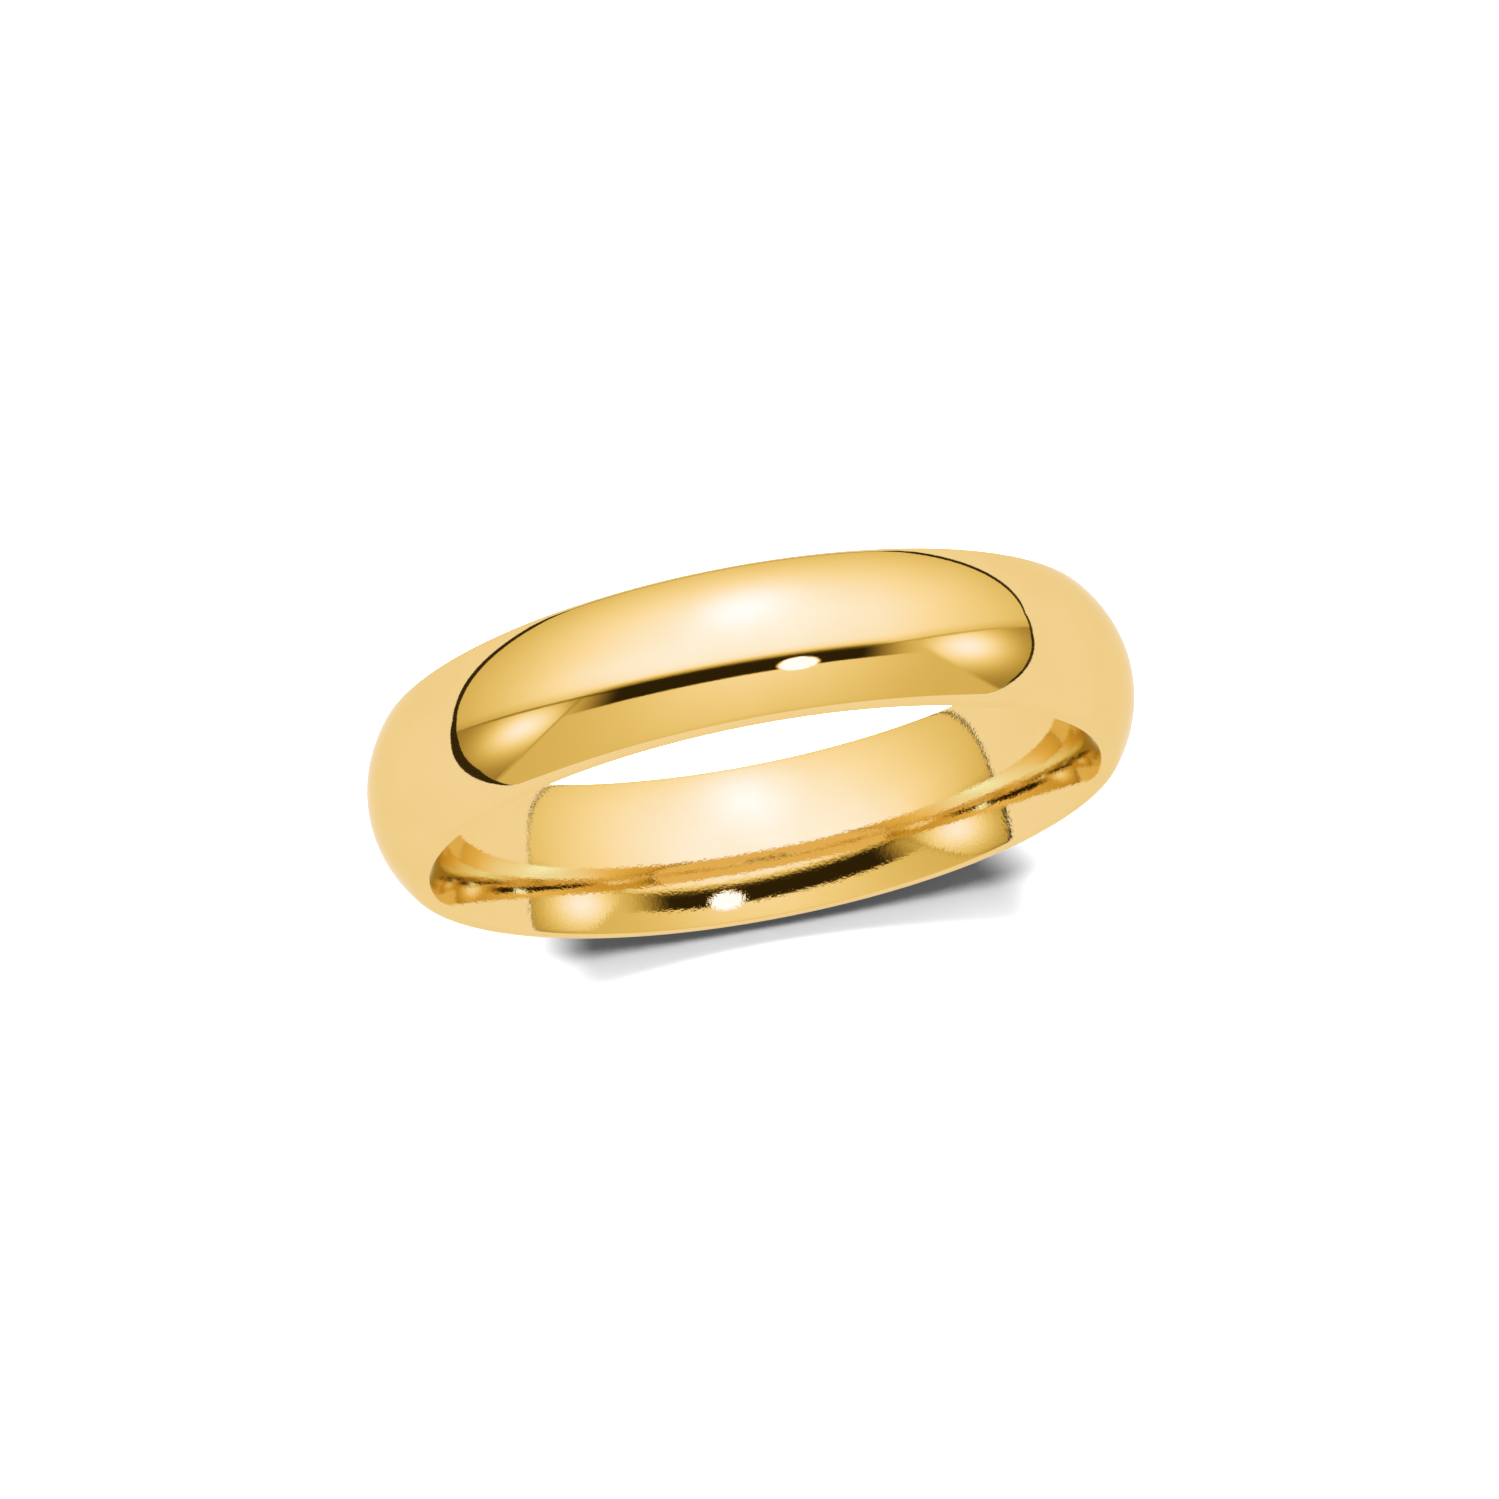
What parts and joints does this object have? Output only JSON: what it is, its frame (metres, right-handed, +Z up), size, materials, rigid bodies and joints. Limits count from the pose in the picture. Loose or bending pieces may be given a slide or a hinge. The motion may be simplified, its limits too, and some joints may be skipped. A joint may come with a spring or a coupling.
{
  "type": "wedding band",
  "caption": "Plain comfort-fit wedding band of polished yellow gold, one seamless ring domed outside and inside, with blank hallmark punches in the bore.",
  "frame": {"origin": "centre of the finger hole, midway between the two side faces", "axes": "+Y along the finger hole; +Z up, with the ring standing on its rim and the blank punches inside its top; +X to the right seen from -Y"},
  "size_m": [0.024, 0.005, 0.024],
  "materials": {
    "polished_gold": "mirror-polished yellow gold, buffed a little less finely in the bore"
  },
  "bodies": {
    "root": {"band": "polished_gold"}
  },
  "joints": []
}
